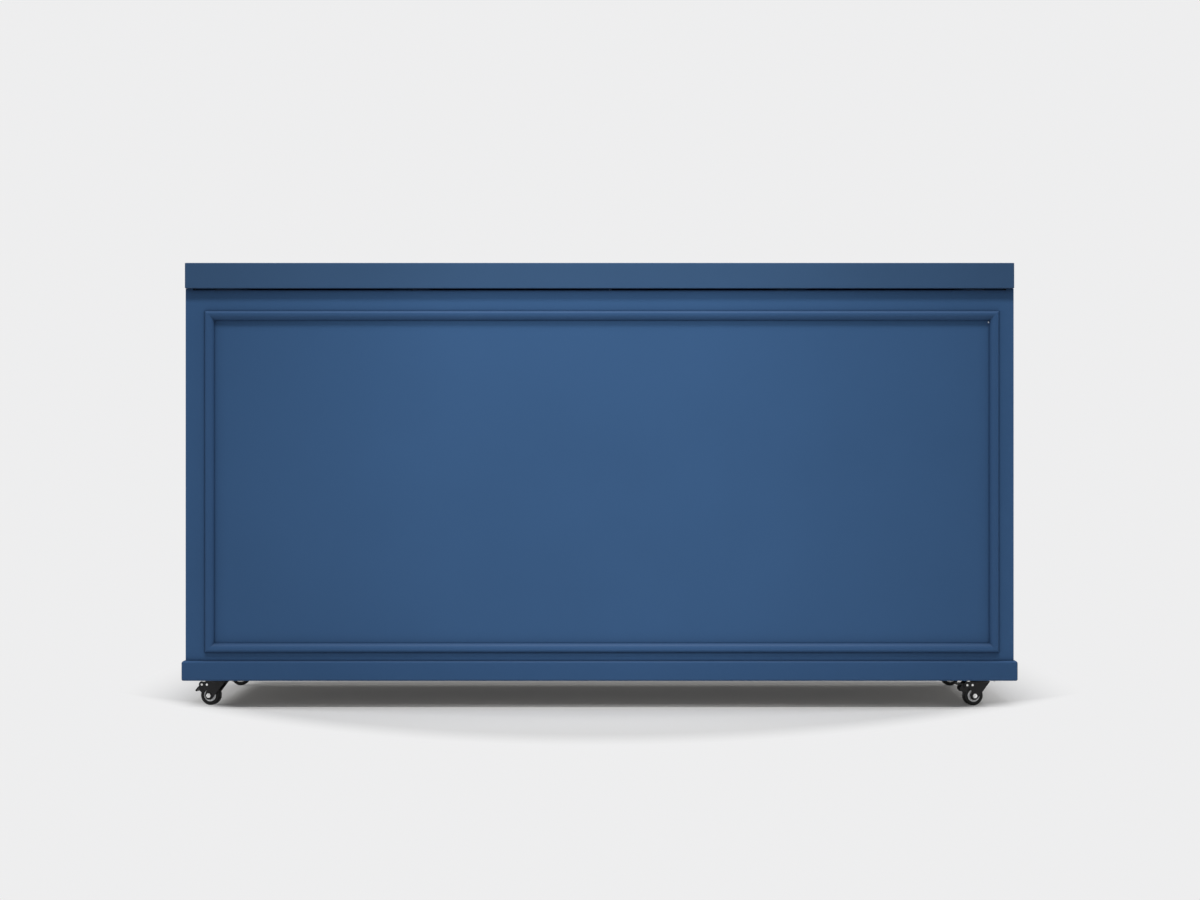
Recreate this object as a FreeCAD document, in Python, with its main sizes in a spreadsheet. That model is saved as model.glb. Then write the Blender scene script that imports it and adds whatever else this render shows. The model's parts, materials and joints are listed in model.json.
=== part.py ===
# Mobile bar counter on four swivel casters with brakes.
# Millimetres, +Z up. The origin is on the floor under the middle of the counter.
# The guests' side faces -Y, and the bartender's side, which is open, faces +Y.
import FreeCAD, Part
import math
import os
import re
import Sketcher

# Driving sizes, each with what it measures.
SIZES = (
    # Body
    ("body_width", 1984, "over the two end panels"),
    ("body_depth", 594, "front frame to rear edges"),
    ("body_height", 935, "from the underside to the top edges"),
    ("board_thickness", 18, "frame, end panels, base, divider and shelves"),
    ("board_ease", 1.5, "radius on the body's outer upright corners"),
    ("groove_depth", 6, "how far boards are let into each other"),
    ("joint_clearance", 0.1, "room round a tenon or in a groove"),
    # Slab
    ("slab_end_inset", 1, "end of the body to the end of the slab"),
    ("slab_thickness", 61, "height of the lippings"),
    ("slab_overhang", 13, "past the body, front and rear"),
    ("slab_ease", 2, "radius on the lippings' outer edges"),
    ("shadow_gap", 4, "open line between body and slab"),
    ("lipping_thickness", 22, "edge lippings"),
    ("top_board_thickness", 18, "board inside the lippings"),
    ("batten_width", 45, "battens under the top board"),
    ("bracket_leg", 30, "angle brackets"),
    ("bracket_width", 24, "angle brackets"),
    ("bracket_thickness", 2, "angle brackets"),
    # Front panel, frame and mouldings
    ("left_margin", 46, "left edge of the body to the front moulding"),
    ("right_margin", 35.5, "right edge of the body to the front moulding"),
    ("top_margin", 49, "top of the body to the mouldings"),
    ("bottom_margin", 67, "underside of the body to the mouldings"),
    ("end_margin", 44, "front and rear faces to the mouldings on the ends"),
    ("moulding_width", 23, "across the moulding"),
    ("moulding_rise", 6.5, "how far the moulding stands proud"),
    ("moulding_edge", 1.5, "square step at the moulding's edges"),
    ("moulding_crest", 7, "outer edge of the front moulding to its highest line"),
    ("moulding_lap", 12, "width of the moulding that lies on the frame"),
    ("panel_thickness", 13, "front panel, flush with the frame's back"),
    ("panel_clearance", 0.5, "round the edge of the panel"),
    ("rebate_width", 10, "how far the panel goes behind the frame"),
    ("tenon_length", 20, "ends of the front rails"),
    ("tenon_thickness", 6, "ends of the front rails"),
    ("tenon_shoulder", 12, "above and below each tenon"),
    ("retainer_width", 24, "strips behind the panel"),
    ("retainer_thickness", 6, "strips behind the panel"),
    ("retainer_grip", 8, "width of a strip outside the rebate"),
    # Plinth
    ("plinth_height", 48, "plinth boards"),
    ("plinth_thickness", 8, "plinth boards"),
    ("plinth_round", 6, "radius on the plinth's top edge"),
    ("plinth_ease", 4.5, "radius on the plinth's bottom edge"),
    # Inside
    ("stretcher_height", 38, "front stretcher"),
    ("rear_rail_height", 70, "rear top rail"),
    ("shelf_height", 440, "clear height under the shelves"),
    ("shelf_front_gap", 18, "from the front stretcher to the shelves"),
    ("shelf_setback", 60, "from the body's rear face"),
    ("shelf_clearance", 1, "at the ends of the shelves"),
    ("cleat_width", 20, "battens under the shelf ends"),
    ("cleat_height", 32, "battens under the shelf ends"),
    # Casters: places
    ("front_caster_inset", 70, "ends of the body to the front swivel axes"),
    ("rear_caster_inset", 62, "ends of the body to the rear swivel axes"),
    ("caster_inset_y", 64, "front and rear of the body to the swivel axes"),
    ("caster_trail", 21, "swivel axis to axle"),
    ("front_left_yaw", -12, "degrees that this caster has swivelled"),
    ("front_right_yaw", 12, "degrees that this caster has swivelled"),
    ("rear_left_yaw", -5, "degrees that this caster has swivelled"),
    ("rear_right_yaw", 6, "degrees that this caster has swivelled"),
    # Casters: wheel
    ("wheel_diameter", 48, "over the tyre"),
    ("tread_width", 19, "across the tyre"),
    ("tyre_shoulder", 3, "radius on the tyre's edges"),
    ("hub_diameter", 30.6, "over the rim inside the tyre"),
    ("hub_width", 17.5, "across the rim"),
    ("hub_rim_thickness", 4, "of the rim"),
    ("hub_web_thickness", 6, "between rim and boss"),
    ("hub_boss_diameter", 14, "round the axle"),
    ("axle_diameter", 6, "axle bolt"),
    ("axle_nut_width", 10, "across the flats of the nut and the bolt head"),
    ("axle_nut_height", 5, "nut and bolt head"),
    ("axle_end", 1.5, "thread past the nut"),
    # Casters: fork and swivel
    ("fork_gap", 25, "between the legs"),
    ("fork_sheet", 2.5, "sheet thickness"),
    ("fork_front_reach", 19, "swivel axis to the front of the legs"),
    ("fork_end_radius", 10.5, "rounded ends of the legs"),
    ("fork_front_angle", -40, "degrees, where the rounded end meets the front edge"),
    ("fork_rear_angle", 155, "degrees, where the rounded end meets the rear edge"),
    ("fork_neck_back", 6.5, "axle to the narrow part of the leg, rearwards"),
    ("fork_neck_rise", 12, "axle to the narrow part of the leg, upwards"),
    ("fork_shoulder_back", 12, "axle to the corner under the ear, rearwards"),
    ("crown_clearance", 7.5, "tyre to the crown above it"),
    ("crown_diameter", 42, "round crown under the plate"),
    ("crown_tongue", 33, "swivel axis to the crown's rear edge"),
    ("collar_thickness", 2, "wall round the swivel balls"),
    ("collar_height", 3, "wall round the swivel balls"),
    ("race_gap", 4, "crown to plate"),
    ("ball_diameter", 3.4, "swivel balls"),
    ("ball_ring_diameter", 30, "circle of the swivel balls"),
    ("kingpin_diameter", 10, "swivel pin"),
    ("kingpin_head_diameter", 17, "under the crown"),
    ("kingpin_head_height", 3, "under the crown"),
    ("seat_clearance", 0.3, "between parts that slide face to face"),
    ("running_clearance", 0.05, "radial, pins and bores"),
    # Casters: plate and screws
    ("plate_length", 84, "along the counter"),
    ("plate_width", 62, "across the counter"),
    ("plate_thickness", 3, "sheet"),
    ("plate_corner", 8, "corner radius"),
    ("screw_spacing_x", 66, "between screws, along the counter"),
    ("screw_spacing_y", 46, "between screws, across the counter"),
    ("screw_diameter", 5, "shank"),
    ("screw_head_diameter", 9, "pan head"),
    ("screw_head_height", 3, "pan head"),
    ("screw_bite", 14, "length in the base board"),
    # Casters: brake
    ("pin_lift", 2, "top of the tyre to the centres of the rivets"),
    ("pivot_back", 18.5, "axle to the lever's rivet, rearwards"),
    ("brace_back", 5.3, "axle to the brace rivet, rearwards"),
    ("rivet_diameter", 3.6, "shank"),
    ("rivet_head_diameter", 5.4, "head"),
    ("rivet_head_height", 1.2, "head"),
    ("lever_clearance", 0.5, "lever to the legs and to the sides of the tyre"),
    ("lever_boss_diameter", 9, "round the rivet"),
    ("lever_nose_radius", 2.5, "end of the cam"),
    ("brake_travel", 50, "degrees from off to on"),
    ("brake_gap", 0.3, "cam to tyre with the brake on"),
    ("pedal_width", 28, "of the wide part"),
    ("pedal_start", 10, "rivet to the wide part, behind the legs"),
    ("pedal_reach", 23, "rivet to the tip of the pedal"),
    ("pedal_thickness", 4, "pedal plate"),
    ("cheek_root", 12.5, "rivet to where the cheeks leave the pedal"),
    ("cheek_reach", 16.5, "rivet to the rear of the cheeks"),
    ("cheek_shoulder", 5, "rivet down to the upper corner of the cheeks' rear"),
    ("cheek_heel", 10.5, "rivet down to the lower corner of the cheeks' rear"),
    ("cheek_toe", 11, "rivet to the rear end of the cheeks' lower edge"),
    ("cheek_drop", 16.5, "rivet down to the cheeks' lower edge"),
    # Cuts
    ("overrun", 5, "how far a cut goes past what it cuts"),
)

# Counts, and places as shares of half the span that they divide.
BALLS_PER_CASTER = 12
BATTEN_PLACE_SHARES = (-1, -0.5, 0, 0.5, 1)
BRACKET_PLACE_SHARES = (-1, -0.5, 0.5, 1)
# How far each brake stands pressed, as a share of its travel.
BRAKE_PRESSED_SHARES = {"front_left": 1, "front_right": 0, "rear_left": 0, "rear_right": 0}
# Points nearer than this are one.
SAME_PLACE = 0.001

# Corners of the counter: name, side along X and side along Y.
CORNERS = (
    ("front_left", -1, -1),
    ("front_right", 1, -1),
    ("rear_left", -1, 1),
    ("rear_right", 1, 1),
)

# Levels and planes of the body, written in the driving sizes.
LEFT = "(-body_width / 2)"
RIGHT = "(body_width / 2)"
FRONT = "(-body_depth / 2)"
BACK = "(body_depth / 2)"
LEFT_INSIDE = "(-body_width / 2 + board_thickness)"
RIGHT_INSIDE = "(body_width / 2 - board_thickness)"
FRAME_BACK = "(-body_depth / 2 + board_thickness)"
REAR_INSIDE = "(body_depth / 2 - board_thickness)"
CROWN_BOTTOM = "(wheel_diameter + crown_clearance)"
CROWN_TOP = f"({CROWN_BOTTOM} + fork_sheet)"
PLATE_BOTTOM = f"({CROWN_TOP} + race_gap)"
BODY_BOTTOM = f"({PLATE_BOTTOM} + plate_thickness)"
BASE_TOP = f"({BODY_BOTTOM} + board_thickness)"
BODY_TOP = f"({BODY_BOTTOM} + body_height)"
SLAB_BOTTOM = f"({BODY_TOP} + shadow_gap)"
SLAB_TOP = f"({SLAB_BOTTOM} + slab_thickness)"
TOP_BOARD_BOTTOM = f"({SLAB_TOP} - top_board_thickness)"
SHELF_BOTTOM = f"({BASE_TOP} + shelf_height)"
SHELF_REAR = "(body_depth / 2 - shelf_setback)"
DIVIDER_LEFT = "(-board_thickness / 2)"
DIVIDER_RIGHT = "(board_thickness / 2)"
STRETCHER_BACK = f"({FRAME_BACK} + board_thickness)"
SHELF_FRONT = f"({STRETCHER_BACK} + shelf_front_gap)"

# Opening of the front frame, half covered by the mouldings.
OPENING_LEFT = "(-body_width / 2 + left_margin + moulding_lap)"
OPENING_RIGHT = "(body_width / 2 - right_margin - moulding_lap)"
OPENING_BOTTOM = f"({BODY_BOTTOM} + bottom_margin + moulding_lap)"
OPENING_TOP = f"({BODY_TOP} - top_margin - moulding_lap)"
PANEL_FACE = f"({FRAME_BACK} - panel_thickness)"

# Insides of the slab's lippings.
SLAB_INSIDE_X = "(body_width / 2 - slab_end_inset - lipping_thickness)"
SLAB_INSIDE_Y = "(body_depth / 2 + slab_overhang - lipping_thickness)"

# A caster's own frame: origin on the floor under its swivel axis, wheel trailing towards -X.
AXLE_X = "(-caster_trail)"
AXLE_Z = "(wheel_diameter / 2)"
PIN_Z = "(wheel_diameter + pin_lift)"
PIVOT_X = "(-caster_trail - pivot_back)"
BRACE_X = "(-caster_trail - brace_back)"
EAR_RADIUS = f"({CROWN_TOP} - {PIN_Z})"
LEG_OUTSIDE = "(fork_gap / 2 + fork_sheet)"
LEVER_OUTSIDE = "(fork_gap / 2 - lever_clearance)"
CHEEK_INSIDE = "(tread_width / 2 + lever_clearance)"

# Directions.
X_AXIS = FreeCAD.Vector(1, 0, 0)
Y_AXIS = FreeCAD.Vector(0, 1, 0)
Z_AXIS = FreeCAD.Vector(0, 0, 1)
ALONG_Y = FreeCAD.Rotation(X_AXIS, -90)

doc = FreeCAD.newDocument("BarCounter")
sheet = doc.addObject("Spreadsheet::Sheet", "Dims")
for row, (name, size, meaning) in enumerate(SIZES, start=1):
    sheet.set(f"A{row}", name)
    sheet.set(f"B{row}", str(size))
    sheet.set(f"C{row}", meaning)
    sheet.setAlias(f"B{row}", name)
doc.recompute()

size_names = {name for name, size, meaning in SIZES}
sub_parts = {}


# Expressions

def in_sheet(text):
    """The expression with each size's name turned into its cell of the sheet."""
    return re.sub(r"[a-z]\w*", lambda word: f"Dims.{word[0]}" if word[0] in size_names else word[0], text)


def bind(thing, setting, text):
    """Tie one setting of an object to an expression in the driving sizes."""
    thing.setExpression(setting, in_sheet(text))


def value(text):
    """What an expression comes to with the sizes in the sheet."""
    result = sheet.evalExpression(in_sheet(text))
    return float(getattr(result, "Value", result))


def bind_place(thing, place, setting=".Placement"):
    """Tie an object's position to three expressions."""
    for axis, text in zip("xyz", place):
        bind(thing, f"{setting}.Base.{axis}", text)


# Sub-parts and their features

def sub_part(label, thing):
    """Keep an object as one of the counter's sub-parts."""
    thing.Label = label
    sub_parts[label] = thing
    return thing


def new_body(label):
    """An empty body that carries a label of its own."""
    body = doc.addObject("PartDesign::Body", label)
    body.Label = label
    return body


def group(label, members):
    """One sub-part made of separate solids."""
    gathered = doc.addObject("Part::Compound", label)
    gathered.Links = members
    return sub_part(label, gathered)


def new_feature(body, kind):
    """A feature of the body, or a loose primitive where no body is given."""
    if body is None:
        return doc.addObject(f"Part::{kind}", kind)
    return body.newObject(f"PartDesign::{kind}", kind)


def box(body, kind, low, high):
    """A box between two corners, each given as three expressions."""
    shape = new_feature(body, kind)
    for setting, start, end in zip(("Length", "Width", "Height"), low, high):
        bind(shape, setting, f"{end} - ({start})")
    bind_place(shape, low)
    return shape


def cylinder(body, kind, radius, start, length, along_y=False):
    """A cylinder from its start point, upwards or along +Y."""
    shape = new_feature(body, kind)
    if along_y:
        shape.Placement = FreeCAD.Placement(FreeCAD.Vector(), ALONG_Y)
    bind(shape, "Radius", radius)
    bind(shape, "Height", length)
    bind_place(shape, start)
    return shape


def fused(members):
    """One solid from several loose primitives."""
    joined = doc.addObject("Part::MultiFuse", "Joined")
    joined.Shapes = members
    return joined


def board(label, low, high):
    """A sub-part that starts as a plain board between two corners."""
    body = sub_part(label, new_body(label))
    box(body, "AdditiveBox", low, high)
    return body


def ease(body, radius, **planes):
    """Round the body's edges whose middles lie on all the given planes."""
    doc.recompute()
    base = body.Tip
    edges = []
    for number, edge in enumerate(base.Shape.Edges, start=1):
        middle = edge.CenterOfMass
        if all(abs(getattr(middle, axis) - value(text)) < SAME_PLACE for axis, text in planes.items()):
            edges.append(f"Edge{number}")
    fillet = body.newObject("PartDesign::Fillet", "Ease")
    fillet.Base = (base, edges)
    bind(fillet, "Radius", radius)


# Sketches

def new_sketch(body, role, offset=None, turn=None):
    """A sketch on one of the body's own planes, moved and then turned in that plane if asked for."""
    sketch = body.newObject("Sketcher::SketchObject", "Sketch")
    plane = next(item for item in body.Origin.OriginFeatures if item.Role == role)
    sketch.AttachmentSupport = (plane, [""])
    sketch.MapMode = "FlatFace"
    if offset:
        bind_place(sketch, offset, ".AttachmentOffset")
    if turn:
        bind(sketch, ".AttachmentOffset.Rotation.Angle", f"{turn} * 1 deg")
    return sketch


def round_between(start, end, radius):
    """The arc of under a half circle that bulges to the right of the way from start to end."""
    chord = end - start
    half = chord.Length / 2
    rise = radius - math.sqrt(max(radius**2 - half**2, 0))
    outward = chord.cross(Z_AXIS).normalize()
    return Part.Arc(start, (start + end) / 2 + outward * rise, end)


def outline(sketch, corners, arcs=None):
    """A closed outline, drawn counterclockwise through corners given as pairs of expressions.

    arcs maps the number of a corner to the radius of the arc that starts there.
    """
    arcs = arcs or {}
    points = [FreeCAD.Vector(value(across), value(up), 0) for across, up in corners]
    first = sketch.GeometryCount
    for number, start in enumerate(points):
        end = points[(number + 1) % len(points)]
        if number in arcs:
            sketch.addGeometry(round_between(start, end, value(arcs[number])), False)
        else:
            sketch.addGeometry(Part.LineSegment(start, end), False)
    for number, corner in enumerate(corners):
        line = first + number
        following = first + (number + 1) % len(points)
        sketch.addConstraint(Sketcher.Constraint("Coincident", line, 2, following, 1))
        for kind, text in zip(("DistanceX", "DistanceY"), corner):
            rule = sketch.addConstraint(Sketcher.Constraint(kind, -1, 1, line, 1, value(text)))
            bind(sketch, f"Constraints[{rule}]", text)
        if number in arcs:
            rule = sketch.addConstraint(Sketcher.Constraint("Radius", line, value(arcs[number])))
            bind(sketch, f"Constraints[{rule}]", arcs[number])


def pad(body, sketch, length):
    """Material on both sides of a sketch."""
    feature = body.newObject("PartDesign::Pad", "Pad")
    feature.Profile = (sketch, [""])
    feature.SideType = "Symmetric"
    bind(feature, "Length", length)


def pocket(body, sketch):
    """A cut right through the body, on both sides of a sketch."""
    doc.recompute()
    before = body.Shape.Volume
    feature = body.newObject("PartDesign::Pocket", "Pocket")
    feature.Profile = (sketch, [""])
    feature.SideType = "Symmetric"
    feature.Type = "ThroughAll"
    doc.recompute()
    if not body.Shape.Volume < before:
        raise RuntimeError(f"the pocket in {body.Label} cuts nothing")


def revolution(body, sketch):
    """Material all the way round a sketch's horizontal axis."""
    feature = body.newObject("PartDesign::Revolution", "Revolution")
    feature.Profile = (sketch, [""])
    feature.ReferenceAxis = (sketch, ["H_Axis"])
    feature.Angle = 360


# Lengths with mitred ends

def mitred_length(label, corners, arcs, length, depth, inward, outward, place):
    """A length of some section, mitred at both ends.

    The section's own axes run inward from the outer edge and outward from the face, and place
    is the middle of the outer edge. The depth is the section's whole reach inward.
    """
    body = new_body(label)
    body.Placement = FreeCAD.Placement(
        FreeCAD.Vector(), FreeCAD.Rotation(inward.cross(outward), inward, outward, "XYZ")
    )
    bind_place(body, place)
    section = new_sketch(body, "YZ_Plane")
    outline(section, corners, arcs)
    pad(body, section, length)
    mitres = new_sketch(body, "XY_Plane")
    far = f"({length}) / 2 + overrun"
    near = f"({length}) / 2 - ({depth}) - overrun"
    deep = f"({depth}) + overrun"
    outline(mitres, ((far, "-overrun"), (far, deep), (near, deep)))
    outline(mitres, ((f"-({far})", "-overrun"), (f"-({near})", deep), (f"-({far})", deep)))
    pocket(body, mitres)
    return body


def crest_radius(reach, fall):
    """Radius of the arc that leaves a crest level and falls that far in that reach."""
    return f"(({reach})^2 + ({fall})^2) / (2 * ({fall}))"


def moulding_section(crest, step=None):
    """Rounded moulding, its crest so far from its outer edge: corners and arcs.

    A step is how far the panel lies below the frame. A tongue then goes down to the panel.
    """
    rise = "moulding_rise - moulding_edge"
    outer = crest_radius(crest, rise)
    if step:
        foot = [
            ("0", "0"),
            ("moulding_lap", "0"),
            ("moulding_lap", f"-{step}"),
            ("moulding_width", f"-{step}"),
        ]
        inner_edge = f"moulding_edge - {step}"
        inner = crest_radius(f"moulding_width - {crest}", f"{rise} + {step}")
    else:
        foot = [("0", "0"), ("moulding_width", "0")]
        inner_edge = "moulding_edge"
        inner = crest_radius(f"moulding_width - {crest}", rise)
    top = [("moulding_width", inner_edge), (crest, "moulding_rise"), ("0", "moulding_edge")]
    return foot + top, {len(foot): inner, len(foot) + 1: outer}


def lipping_section(thickness, height, top_round, bottom_round):
    """Upright board with its outer edges rounded: corners and arcs."""
    corners = (
        (bottom_round, "0"),
        (thickness, "0"),
        (thickness, height),
        (top_round, height),
        ("0", f"{height} - {top_round}"),
        ("0", bottom_round),
    )
    return corners, {3: top_round, 5: bottom_round}


def ring_of_lippings(labels, section, thickness, width, depth, bottom):
    """Four mitred boards round a rectangle: front, rear, left and right."""
    corners, arcs = section
    half_width = f"({width}) / 2"
    half_depth = f"({depth}) / 2"
    sides = (
        (width, Y_AXIS, ("0", f"-({half_depth})", bottom)),
        (width, -Y_AXIS, ("0", half_depth, bottom)),
        (depth, X_AXIS, (f"-({half_width})", "0", bottom)),
        (depth, -X_AXIS, (half_width, "0", bottom)),
    )
    for label, (length, inward, place) in zip(labels, sides):
        body = mitred_length(label, corners, arcs, length, thickness, inward, Z_AXIS, place)
        sub_part(label, body)


# The slab

def make_slab():
    ring_of_lippings(
        ("top_front_lipping", "top_rear_lipping", "top_left_lipping", "top_right_lipping"),
        lipping_section("lipping_thickness", "slab_thickness", "slab_ease", "slab_ease"),
        "lipping_thickness",
        "body_width - 2 * slab_end_inset",
        "body_depth + 2 * slab_overhang",
        SLAB_BOTTOM,
    )
    board(
        "top_board",
        (f"-{SLAB_INSIDE_X}", f"-{SLAB_INSIDE_Y}", TOP_BOARD_BOTTOM),
        (SLAB_INSIDE_X, SLAB_INSIDE_Y, SLAB_TOP),
    )
    battens = []
    for share in BATTEN_PLACE_SHARES:
        middle = batten_middle(share)
        low = (f"{middle} - batten_width / 2", f"-{SLAB_INSIDE_Y}", BODY_TOP)
        high = (f"{middle} + batten_width / 2", SLAB_INSIDE_Y, TOP_BOARD_BOTTOM)
        battens.append(box(None, "Box", low, high))
    group("top_battens", battens)
    make_brackets()


def batten_middle(share):
    """Where a batten's middle lies along the slab."""
    return f"({share} * ({SLAB_INSIDE_X} - batten_width / 2))"


def make_brackets():
    """Steel angles that hold the battens down to the front stretcher and the rear rail."""
    brackets = []
    for share in BRACKET_PLACE_SHARES:
        middle = batten_middle(share)
        left = f"{middle} - bracket_width / 2"
        right = f"{middle} + bracket_width / 2"
        for corner, inward in ((STRETCHER_BACK, "+"), (REAR_INSIDE, "-")):
            sheet_face = f"({corner} {inward} bracket_thickness)"
            leg_end = f"({corner} {inward} bracket_leg)"
            near, far = (corner, leg_end) if inward == "+" else (leg_end, corner)
            thin_near, thin_far = (corner, sheet_face) if inward == "+" else (sheet_face, corner)
            flat_leg = box(
                None, "Box", (left, near, f"{BODY_TOP} - bracket_thickness"), (right, far, BODY_TOP)
            )
            upright_leg = box(
                None, "Box", (left, thin_near, f"{BODY_TOP} - bracket_leg"), (right, thin_far, BODY_TOP)
            )
            brackets.append(fused([flat_leg, upright_leg]))
    group("top_brackets", brackets)


# The front frame, its panel and mouldings

def cut_panel_rebate(body):
    """The room behind the frame that the panel lies in."""
    low = (f"{OPENING_LEFT} - rebate_width", PANEL_FACE, f"{OPENING_BOTTOM} - rebate_width")
    high = (
        f"{OPENING_RIGHT} + rebate_width",
        f"{FRAME_BACK} + overrun",
        f"{OPENING_TOP} + rebate_width",
    )
    box(body, "SubtractiveBox", low, high)


def tenon_box(body, kind, edge, outward, low_z, high_z, clearance):
    """A tenon at one end of a rail, or the mortise for it with a clearance all round."""
    near_y = f"{FRONT} + (board_thickness - tenon_thickness) / 2 - {clearance}"
    far_y = f"{FRONT} + (board_thickness + tenon_thickness) / 2 + {clearance}"
    reach = f"(tenon_length + {clearance})"
    left, right = (f"{edge} - {reach}", edge) if outward < 0 else (edge, f"{edge} + {reach}")
    bottom = f"{low_z} + tenon_shoulder - {clearance}"
    top = f"{high_z} - tenon_shoulder + {clearance}"
    box(body, kind, (left, near_y, bottom), (right, far_y, top))


def make_front_frame():
    """Two rails tenoned into stiles, whose horns close the ends of the shadow gap."""
    rails = (
        ("front_top_rail", OPENING_TOP, BODY_TOP),
        ("front_bottom_rail", BODY_BOTTOM, OPENING_BOTTOM),
    )
    stiles = (
        ("front_left_stile", LEFT, OPENING_LEFT, LEFT, OPENING_LEFT, -1),
        ("front_right_stile", OPENING_RIGHT, RIGHT, RIGHT, OPENING_RIGHT, 1),
    )
    for label, left, right, corner, edge, side in stiles:
        stile = board(label, (left, FRONT, BODY_BOTTOM), (right, FRAME_BACK, BODY_TOP))
        horn_left, horn_right = (left, LEFT_INSIDE) if side < 0 else (RIGHT_INSIDE, right)
        box(stile, "AdditiveBox", (horn_left, FRONT, BODY_TOP), (horn_right, FRAME_BACK, SLAB_BOTTOM))
        ease(stile, "board_ease", x=corner, y=FRONT)
        cut_panel_rebate(stile)
        for rail_label, bottom, top in rails:
            tenon_box(stile, "SubtractiveBox", edge, side, bottom, top, "joint_clearance")
    for label, bottom, top in rails:
        rail = board(label, (OPENING_LEFT, FRONT, bottom), (OPENING_RIGHT, FRAME_BACK, top))
        for edge, side in ((OPENING_LEFT, -1), (OPENING_RIGHT, 1)):
            tenon_box(rail, "AdditiveBox", edge, side, bottom, top, "0")
        cut_panel_rebate(rail)


def make_front_panel():
    fit = "(rebate_width - panel_clearance)"
    board(
        "front_panel",
        (f"{OPENING_LEFT} - {fit}", PANEL_FACE, f"{OPENING_BOTTOM} - {fit}"),
        (f"{OPENING_RIGHT} + {fit}", FRAME_BACK, f"{OPENING_TOP} + {fit}"),
    )
    reach = "(rebate_width + retainer_grip)"
    left = f"({OPENING_LEFT} - {reach})"
    right = f"({OPENING_RIGHT} + {reach})"
    bottom = f"({OPENING_BOTTOM} - {reach})"
    top = f"({OPENING_TOP} + {reach})"
    strips = (
        (left, right, bottom, f"{bottom} + retainer_width"),
        (left, right, f"{top} - retainer_width", top),
        (left, f"{left} + retainer_width", f"{bottom} + retainer_width", f"{top} - retainer_width"),
        (f"{right} - retainer_width", right, f"{bottom} + retainer_width", f"{top} - retainer_width"),
    )
    back = f"{FRAME_BACK} + retainer_thickness"
    group(
        "panel_retainers",
        [
            box(None, "Box", (strip_left, FRAME_BACK, low), (strip_right, back, high))
            for strip_left, strip_right, low, high in strips
        ],
    )


def make_front_mouldings():
    corners, arcs = moulding_section("moulding_crest", "(board_thickness - panel_thickness)")
    left = "(-body_width / 2 + left_margin)"
    right = "(body_width / 2 - right_margin)"
    bottom = f"({BODY_BOTTOM} + bottom_margin)"
    top = f"({BODY_TOP} - top_margin)"
    width = f"{right} - {left}"
    height = f"{top} - {bottom}"
    middle_x = f"({left} + {right}) / 2"
    middle_z = f"({bottom} + {top}) / 2"
    sides = (
        ("front_moulding_top", width, -Z_AXIS, (middle_x, FRONT, top)),
        ("front_moulding_bottom", width, Z_AXIS, (middle_x, FRONT, bottom)),
        ("front_moulding_left", height, X_AXIS, (left, FRONT, middle_z)),
        ("front_moulding_right", height, -X_AXIS, (right, FRONT, middle_z)),
    )
    for label, length, inward, place in sides:
        body = mitred_length(label, corners, arcs, length, "moulding_width", inward, -Y_AXIS, place)
        sub_part(label, body)


def make_end_mouldings(label, face, outward):
    """Half-round mouldings of the same size, planted on the flat face of an end panel."""
    corners, arcs = moulding_section("(moulding_width / 2)")
    front = f"({FRONT} + end_margin)"
    back = f"({BACK} - end_margin)"
    bottom = f"({BODY_BOTTOM} + bottom_margin)"
    top = f"({BODY_TOP} - top_margin)"
    depth = f"{back} - {front}"
    height = f"{top} - {bottom}"
    middle_y = f"({front} + {back}) / 2"
    middle_z = f"({bottom} + {top}) / 2"
    sides = (
        ("top", depth, -Z_AXIS, (face, middle_y, top)),
        ("bottom", depth, Z_AXIS, (face, middle_y, bottom)),
        ("front", height, Y_AXIS, (face, front, middle_z)),
        ("rear", height, -Y_AXIS, (face, back, middle_z)),
    )
    lengths = []
    for side, length, inward, place in sides:
        name = f"{label}_{side}"
        lengths.append(
            mitred_length(name, corners, arcs, length, "moulding_width", inward, outward, place)
        )
    group(label, lengths)


# The body behind the front

def make_end_panels():
    ends = (
        ("left_end_panel", LEFT, LEFT_INSIDE, LEFT),
        ("right_end_panel", RIGHT_INSIDE, RIGHT, RIGHT),
    )
    for label, left, right, corner in ends:
        panel = board(label, (left, FRAME_BACK, BODY_BOTTOM), (right, BACK, SLAB_BOTTOM))
        ease(panel, "board_ease", x=corner, y=BACK)
        if corner == LEFT:
            rebate_left, rebate_right = f"{right} - groove_depth", f"{right} + overrun"
        else:
            rebate_left, rebate_right = f"{left} - overrun", f"{left} + groove_depth"
        box(
            panel,
            "SubtractiveBox",
            (rebate_left, f"{FRAME_BACK} - overrun", f"{BODY_BOTTOM} - overrun"),
            (rebate_right, f"{BACK} + overrun", f"{BASE_TOP} + joint_clearance"),
        )


def make_base_board():
    let_in = "(groove_depth - joint_clearance)"
    base = board(
        "base_board",
        (f"{LEFT_INSIDE} - {let_in}", FRAME_BACK, BODY_BOTTOM),
        (f"{RIGHT_INSIDE} + {let_in}", BACK, BASE_TOP),
    )
    box(
        base,
        "SubtractiveBox",
        (
            f"{DIVIDER_LEFT} - joint_clearance",
            f"{STRETCHER_BACK} - joint_clearance",
            f"{BASE_TOP} - groove_depth",
        ),
        (
            f"{DIVIDER_RIGHT} + joint_clearance",
            f"{REAR_INSIDE} + joint_clearance",
            f"{BASE_TOP} + overrun",
        ),
    )
    for x, y in screw_places():
        cylinder(
            base,
            "SubtractiveCylinder",
            "screw_diameter / 2 + running_clearance",
            (x, y, f"{BODY_BOTTOM} - overrun"),
            "screw_bite + overrun",
        )


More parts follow.
